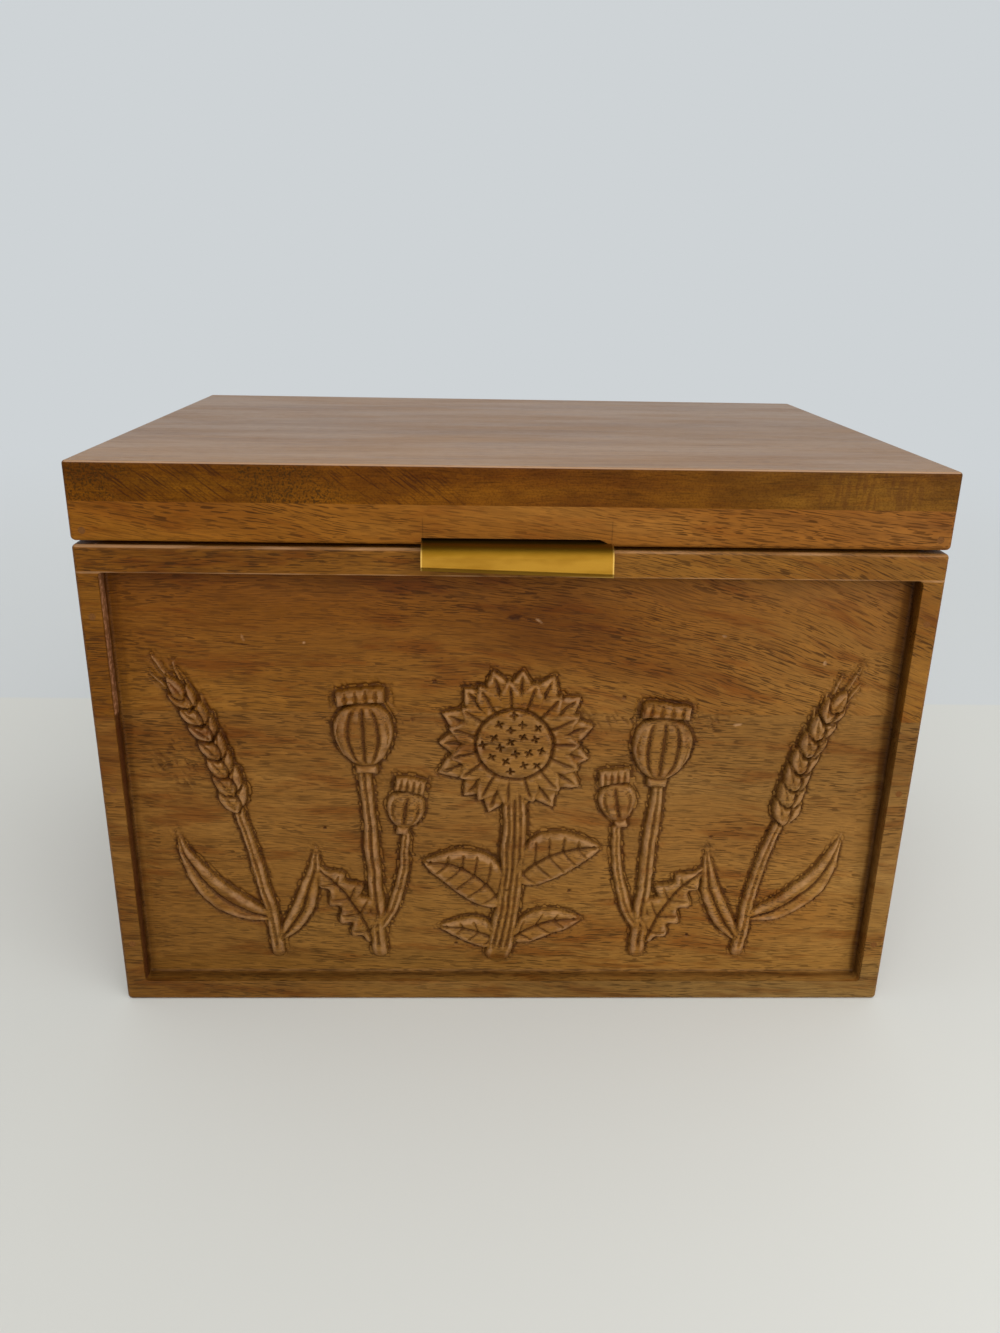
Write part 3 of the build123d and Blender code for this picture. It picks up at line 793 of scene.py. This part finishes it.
def stem(r, points, half, rise, flutes, depth=0.9):
    """A fluted stalk: a rounded ridge along a curve bent by its middle point."""
    p0, p1, p2 = np.array(points, float)
    w = r.window(max(half) + 5, *points)
    x, z = r.x[w], r.z[w]
    best, side, place = np.full(x.shape, 1e9), np.zeros(x.shape), np.zeros(x.shape)
    steps = np.linspace(0, 1, 41)
    line = [(1 - t) ** 2 * p0 + 2 * (1 - t) * t * p1 + t * t * p2 for t in steps]
    for a, b, t in zip(line, line[1:], steps):
        run = b - a
        share = np.clip(((x - a[0]) * run[0] + (z - a[1]) * run[1]) / (run @ run), 0, 1)
        dx, dz = x - a[0] - share * run[0], z - a[1] - share * run[1]
        far = np.hypot(dx, dz)
        closer = far < best
        best = np.where(closer, far, best)
        side = np.where(closer, (dx * run[1] - dz * run[0]) / np.hypot(*run), side)
        place = np.where(closer, t + share * steps[1], place)
    width = half[0] + (half[1] - half[0]) * place
    cuts = depth * sum(groove(side - width * ((k + 1) / (flutes + 1) * 2 - 1), 0.6) for k in range(flutes))
    cuts = cuts * soft(place, 0.02, 0.06)
    r.lay(w, width - best, rise * dome(width - best, np.minimum(width, 2.4)) - cuts, cuts)


def leaf(r, base, tip, bend, width, rise, veins=6, lobes=0.0, fat=0.38):
    """A leaf: two half domes either side of a bent midrib, with slanting veins and, if asked, lobes."""
    base, tip = np.array(base, float), np.array(tip, float)
    length = np.hypot(*(tip - base))
    u = (tip - base) / length
    w = r.window(width + abs(bend) + 5, base, tip)
    x, z = r.x[w] - base[0], r.z[w] - base[1]
    along = (x * u[0] + z * u[1]) / length
    t = np.clip(along, 0, 1)
    across = z * u[0] - x * u[1] - bend * 4 * t * (1 - t)
    half = width * np.sin(np.pi * t ** (np.log(0.5) / np.log(fat))) ** 0.75
    slant = t * max(veins, 1)
    half = half * (1 - lobes * (0.5 - 0.5 * np.cos(2 * np.pi * (slant + 0.25 * np.abs(across) / width))))
    inside = signed(half - np.abs(across), np.abs(along - t) * length)
    phase = (slant - 0.75 * np.abs(across) / width) % 1 - 0.5
    vein = groove(phase * length / max(veins, 1), 0.55) * soft(inside, 0.8, 2.0) * (veins > 0)
    cuts = 0.9 * groove(across, 0.55) + 0.65 * vein
    r.lay(w, inside, rise * dome(inside, 2.4) - 0.3 * rise * groove(across, 2.2) - cuts, cuts)


def capsule(r, centre, half, tall, lean, rise, ribs):
    """A poppy's seed head: a ribbed egg with a toothed crown on top and a small collar below."""
    w = r.window(max(half, tall) * 1.6 + 6, centre)
    x, z = r.x[w] - centre[0], r.z[w] - centre[1]
    cx, cz = x * np.cos(lean) + z * np.sin(lean), z * np.cos(lean) - x * np.sin(lean)
    egg = half * (1 + 0.16 * cz / tall)
    inside = (1 - np.hypot(cx / egg, cz / tall)) * min(half, tall)
    chord = egg * np.sqrt(np.clip(1 - (cz / tall) ** 2, 0.04, 1))
    turn = np.arcsin(np.clip(cx / chord, -1, 1)) / np.pi * ribs
    rib = 0.95 * groove((turn + 0.5) % 1 - 0.5, 0.17) * soft(inside, 0.9, 2.6)
    r.lay(w, inside, rise * dome(inside, 4.5) - rib, rib)
    for level, wide, high, teeth, up in ((tall + 2.4, half * 0.86, 2.9, 5, rise * 0.95),
                                         (-tall - 0.6, half * 0.36, 1.8, 0, rise * 0.75)):
        edge = wide * (1 + 0.10 * np.cos(np.pi * teeth * cx / wide) * (teeth > 0))
        inside = np.minimum(edge - np.abs(cx), high - np.abs(cz - level + 0.06 * cx ** 2 / wide))
        notch = 0.8 * groove((cx / wide * teeth / 2) % 1 - 0.5, 0.2) * soft(inside, 0.2, 0.9) * (teeth > 0)
        r.lay(w, inside, up * dome(inside, 1.5) - notch, notch)


def thread(r, start, end, half, rise):
    """A thin straight ridge that tapers to its end."""
    start, end = np.array(start, float), np.array(end, float)
    w = r.window(4, start, end)
    run = end - start
    x, z = r.x[w] - start[0], r.z[w] - start[1]
    share = np.clip((x * run[0] + z * run[1]) / (run @ run), 0, 1)
    inside = half * (1 - 0.6 * share) - np.hypot(x - share * run[0], z - share * run[1])
    r.lay(w, inside, rise * dome(inside, half) * (1 - 0.5 * share))


def ear(r, base, tip, bend, pairs, grain, rise, awns, rng):
    """An ear of wheat: grains in pairs that lean out from a bent axis, each with a thin awn."""
    base, tip = np.array(base, float), np.array(tip, float)
    length = np.hypot(*(tip - base))
    u = (tip - base) / length
    v = np.array([-u[1], u[0]])
    spots = [((k + 0.35) / pairs, s) for k in range(pairs) for s in (-1, 1)] + [(1.0, 0)]
    for t, s in spots:
        size = 1 - 0.25 * t
        t = t + rng.uniform(-0.008, 0.008)
        middle = base + u * t * length + v * (bend * 4 * t * (1 - t) + s * grain[0] * 0.62 * size)
        lean = np.arctan2(u[1], u[0]) + np.arctan2(bend * 4 * (1 - 2 * t), length)
        lean = lean + s * (0.42 + rng.uniform(-0.06, 0.06))
        long, wide = grain[1] * size, grain[0] * size
        ray = np.array([np.cos(lean - s * 0.22), np.sin(lean - s * 0.22)])
        reach = long * 0.4 + awns * (0.8 + 0.3 * t)
        thread(r, middle + ray * long * 0.4, middle + ray * reach, awn_half, awn_rise)
        w = r.window(long + 2, middle)
        x, z = r.x[w] - middle[0], r.z[w] - middle[1]
        a, c = x * np.cos(lean) + z * np.sin(lean), z * np.cos(lean) - x * np.sin(lean)
        half = wide * np.sin(np.pi * np.clip((a / long + 1) / 2, 0, 1) ** 0.85) ** 0.75
        inside = signed(half - np.abs(c), np.abs(a) - long)
        crease = 0.6 * groove(c, 0.45) * soft(inside, 0.5, 1.5)
        body = rise * (0.55 + 0.45 * dome(inside, wide * 0.9)) * dome(inside, 0.9) - crease
        parting = 1.1 * groove(inside + 0.45, 0.5) * (r.height[w] > 0.8)
        r.sink(w, parting)
        r.lay(w, inside, body, crease)


def sunflower(r, rng):
    """The middle figure: a fluted stem, four leaves, two rings of petals and a punched seed disc."""
    centre = np.array((1.5, 110.0))
    stem(r, ((-3.0, 18.5), (4.0, 60), (1.5, 96)), (5.2, 4.2), 3.3, 3)
    # Each leaf's foot, tip, bend, half width, height and veins
    for shape in (((-2.5, 42), (-33, 60), -5.0, 10.5, 3.1, 6), ((3.5, 53), (36, 66), 4.5, 10.0, 3.1, 6),
                  ((-2.0, 23), (-27, 30), -2.5, 6.0, 2.6, 4), ((2.0, 25), (30, 34), 3.0, 6.4, 2.6, 4)):
        leaf(r, *shape)
    count = 15
    for reach, width, rise, level, turn in ((29.5, 5.0, 1.4, 0.9, 0.21), (25.5, 4.6, 1.5, 1.9, 0.0)):
        vary = (rng.uniform(-0.05, 0.05, count), rng.uniform(-0.06, 0.06, count))
        petals(r, centre, count, 11, reach, width, rise, level, vary, turn)
    disc = 13.6
    w = r.window(17, centre)
    radius = np.hypot(r.x[w] - centre[0], r.z[w] - centre[1])
    r.sink(w, 1.2 * groove(radius - disc - 0.5, 0.8))
    r.lay(w, disc - radius, 2.9 + 1.6 * dome(disc - radius, 10.0))
    golden, seeds = np.pi * (3 - np.sqrt(5)), 19
    for k in range(1, seeds + 1):
        far, angle = 2.8 * np.sqrt(k - 0.5), k * golden
        star(r, centre[0] + far * np.cos(angle), centre[1] + far * np.sin(angle), 2.1, 1.5,
             angle + rng.uniform(-0.3, 0.3))


def poppies(r, side, foot, tall, short):
    """Two seed heads on bent stems with one lobed leaf, on one side of the middle."""
    main = ((foot - 4 * side, 19), (foot - 2 * side, 60), (foot, tall - 14))
    branch = ((foot - 4 * side, 30), (foot - 14 * side, 44), (foot - 15 * side, short - 11))
    stem(r, main, (3.2, 2.3), 2.6, 1)
    stem(r, branch, (2.3, 1.7), 2.2, 1, 0.7)
    leaf(r, (foot - side, 24), (foot + side * 22, 58), side * 3.5, 9.0, 2.8, 5, 0.42)
    capsule(r, (foot, tall), 11.0, 13.0, -side * 0.06, 4.2, 6)
    capsule(r, (foot - side * 15, short), 7.0, 8.4, side * 0.16, 3.4, 4)


def wheat(r, side, points, tip, rng):
    """One ear on a bent straw with two blades."""
    foot = points[0][0]
    stem(r, points, (2.6, 1.8), 2.3, 1, 0.7)
    leaf(r, (foot + side, 34), (foot + side * 36, 72), -side * 8.0, 5.4, 2.6, 0)
    leaf(r, (foot - side * 0.5, 24), (foot - side * 16, 66), side * 4.0, 4.2, 2.4, 0)
    ear(r, points[2], tip, side * 2.5, 7, (3.3, 6.4), 3.4, 11, rng)


punches = ((-36, 62), (-20, 22), (24, 46), (34, 96), (-70, 74), (78, 70), (-118, 44), (72, 26),
           (41, 128), (-28, 134))


def punch_marks(r):
    """Small square dents that the tool left on the ground, each a pit with flat sides."""
    for x0, z0 in punches:
        w = r.window(2, (x0, z0))
        far = np.maximum(np.abs(r.x[w] - x0), np.abs(r.z[w] - z0))
        r.sink(w, 0.5 * (1 - soft(far, 0.35, 0.95)) * (r.height[w] < 0.1))


# Small marks on the ground: x, z, half length, half height, lean, and shade, dark above 0 and pale
# below. The first is the knot's dark heart.
marks = ((0.4, 158.4, 2.5, 0.85, 0.08, 0.75), (9.4, 156.9, 1.8, 0.40, -0.6, -0.45),
         (6.0, 157.4, 4.2, 0.22, -0.45, 0.6), (-97.5, 147.4, 9.0, 0.25, -0.14, 0.6),
         (-96.0, 149.6, 0.4, 1.2, 0.3, -0.7), (-74.4, 148.1, 0.5, 0.5, 0.0, -0.5),
         (113.5, 142.1, 0.6, 0.8, 0.0, -0.5), (76.1, 151.9, 0.9, 0.4, -0.3, -0.4),
         (84.0, 117.5, 1.6, 0.5, 0.1, -0.5), (0.0, 48.5, 1.4, 0.5, 0.0, 0.8),
         (-0.3, 14.8, 1.2, 0.4, 0.0, 0.7), (52.0, 14.0, 1.0, 0.5, 0.0, 0.6),
         (-128.0, 99.0, 0.6, 0.3, 0.0, 0.6))


def blurred(field, reach):
    """The mean over a square of `reach` grid points each way."""
    count = 2 * reach + 1
    for axis in (0, 1):
        wide = np.pad(field, [(reach, reach) if side == axis else (0, 0) for side in (0, 1)], mode="edge")
        length = field.shape[axis]
        field = sum(np.take(wide, np.arange(k, k + length), axis) for k in range(count)) / count
    return field


def carve(x, z):
    """The whole carving: heights over the recess floor, and a share of dark and pale, from 1 for
    staining in the cuts and painted shade in the hollows to -1 for rubbing and painted highlights on
    the edges. The ground rolls a little, is cut down along the figures' outlines, and has tool chips
    beside them, along the glue line and in a patch at the left."""
    rng = np.random.default_rng(7)
    r = Relief(x, z)
    wheat(r, -1, ((-90, 19), (-94, 55), (-103, 84)), (-121, 131), rng)
    wheat(r, 1, ((93, 19), (95, 55), (105, 80)), (120, 127), rng)
    poppies(r, -1, -54, 113, 82)
    poppies(r, 1, 56, 108, 86)
    sunflower(r, rng)
    punch_marks(r)
    on_figure = r.near <= 0
    facets = 0.30 * (grit(x, z, 3.4, 11) - 0.5) + 0.14 * (grit(x, z, 1.3, 12) - 0.5)
    outline = 0.42 * groove(r.near - 0.6, 0.85) * ~on_figure
    seam_band = soft(np.abs(z - seam_mm + 3), 7, 1) * soft(np.abs(x - 10), 85, 60)
    left_patch = soft(np.hypot((x + 124) / 12, (z - 98) / 18), 1.0, 0.4)
    rough = 0.8 * np.maximum(seam_band, left_patch) * soft(grit(x, z, 6, 16), 0.35, 0.6)
    beside = np.maximum(soft(r.near, 5.0, 0.5), rough) * ~on_figure
    slanting = grit(x + 0.6 * z, 0.35 * (z - 0.6 * x), 1.0, 13)
    chips = beside * 0.36 * soft(slanting, 0.45, 0.8)
    scratched = rough * soft(slanting, 0.5, 0.75) * ~on_figure
    rolling = 0.16 * (grit(x, z, 14, 14) - 0.5) + 0.05 * (grit(x, z, 4, 15) - 0.5)
    height = ground + r.height + np.where(on_figure, facets, rolling) - outline - chips
    inset = np.minimum(recess_side_mm - np.abs(x), np.minimum(z - recess_low_mm, recess_high_mm - z))
    edge = soft(inset, sheet_edge, sheet_edge + 12)
    sunk = -0.12 * (1 - soft(inset, sheet_edge, sheet_edge + 2.5))
    height = height * edge + sunk
    bulge = height - blurred(blurred(height, 3), 3)
    stain_and_shade = 0.75 * r.cut + 0.2 * outline + 0.5 * chips + 0.5 * scratched
    # Painted shade in the carving's hollows, added to the staining in its cuts
    stain_and_shade = np.clip(stain_and_shade + 0.9 * soft(-bulge, 0.08, 0.5) * edge, 0, 1)
    # Pale convex edges: partly rubbing, partly painted highlight
    rubbed_and_highlit = 0.34 * soft(bulge, 0.16, 0.55) * edge
    wear_and_painted_light = np.where(stain_and_shade > rubbed_and_highlit, 0.85 * stain_and_shade, -rubbed_and_highlit)
    for x0, z0, long, tall, lean, shade in marks:
        along = (x - x0) * np.cos(lean) + (z - z0) * np.sin(lean)
        across = (z - z0) * np.cos(lean) - (x - x0) * np.sin(lean)
        spot = soft(1.25 - np.hypot(along / long, across / tall) + 0.5 * (grit(x, z, 1.1, 21) - 0.5), 0, 0.5)
        height = height - 0.12 * spot
        wear_and_painted_light = wear_and_painted_light * (1 - spot) + shade * spot
    return height, wear_and_painted_light


def carved_sheet(name, x, z, height, wear_and_painted_light, normals, slot_name):
    """A closed slab on the recess floor: the carved heights in front, a flat back inside the board."""
    columns, rows = height.shape
    front = np.stack([x, recess_floor_mm - height, z], -1).reshape(-1, 3)
    index = np.arange(columns * rows).reshape(columns, rows)
    ring = np.concatenate([index[:-1, 0], index[-1, :-1], index[:0:-1, -1], index[0, :0:-1]])
    back = front[ring].copy()
    back[:, 1] = recess_floor_mm + sheet_back
    middle = back.mean(0)[None]
    quads = np.stack([index[:-1, :-1], index[1:, :-1], index[1:, 1:], index[:-1, 1:]], -1).reshape(-1, 4)
    rim = len(front) + np.arange(len(ring))
    skirt = np.stack([np.roll(ring, -1), ring, rim, np.roll(rim, -1)], -1)
    hub = np.full(len(ring), len(front) + len(ring))
    fan = np.stack([np.roll(rim, -1), rim, hub], -1)
    mesh = bpy.data.meshes.new(name)
    points = np.concatenate([front, back, middle]) * MM
    mesh.from_pydata(points, [], quads.tolist() + skirt.tolist() + fan.tolist())
    mesh.polygons.foreach_set("use_smooth", np.ones(len(mesh.polygons), bool))
    turned = np.zeros((len(points), 3))
    turned[:len(front)] = normals.reshape(-1, 3)
    turned[len(front):] = (0, 1, 0)
    mesh.normals_split_custom_set_from_vertices(turned)
    # The carving's share of staining with painted shade, and of rubbing with painted highlights
    layer = mesh.attributes.new("wear_and_painted_light", "FLOAT", "POINT")
    values = np.zeros(len(points), np.float32)
    values[:len(front)] = wear_and_painted_light.ravel()
    layer.data.foreach_set("value", values)
    mesh.materials.append(finish_of[slot_name])
    piece = in_scene(name, mesh)
    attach(piece, "box")


def lines_between(low, high, step):
    """Evenly spaced lines from low to high, at most `step` apart."""
    return np.linspace(low, high, int(math.ceil((high - low) / step)) + 1)


def carved_front():
    """The carving across both front boards, cut into sheets that meet on shared lines."""
    side = recess_side_mm - sheet_edge
    columns = lines_between(-side, side, cell)
    low_rows = lines_between(recess_low_mm + sheet_edge, seam_mm, cell)
    high_rows = lines_between(seam_mm, recess_high_mm - sheet_edge, cell)
    rows = np.concatenate([low_rows, high_rows[1:]])
    x, z = np.meshgrid(columns, rows, indexing="ij")
    height, wear_and_painted_light = carve(x, z)
    slope_x = np.gradient(height, columns, axis=0)
    slope_z = np.gradient(height, rows, axis=1)
    normals = np.stack([-slope_x, -np.ones_like(height), -slope_z], -1)
    normals /= np.linalg.norm(normals, axis=2, keepdims=True)
    third = len(columns) // 3
    below, above = slice(0, len(low_rows)), slice(len(low_rows) - 1, None)
    cuts = {
        "carved_panel_lower_left": (slice(0, third + 1), below, "front_lower_wood"),
        "carved_panel_lower_middle": (slice(third, 2 * third + 1), below, "front_lower_wood"),
        "carved_panel_lower_right": (slice(2 * third, None), below, "front_lower_wood"),
        "carved_panel_upper": (slice(0, None), above, "front_upper_wood"),
    }
    for name, (across, up, slot_name) in cuts.items():
        pick = (across, up)
        carved_sheet(name, x[pick], z[pick], height[pick], wear_and_painted_light[pick], normals[pick], slot_name)


carved_front()
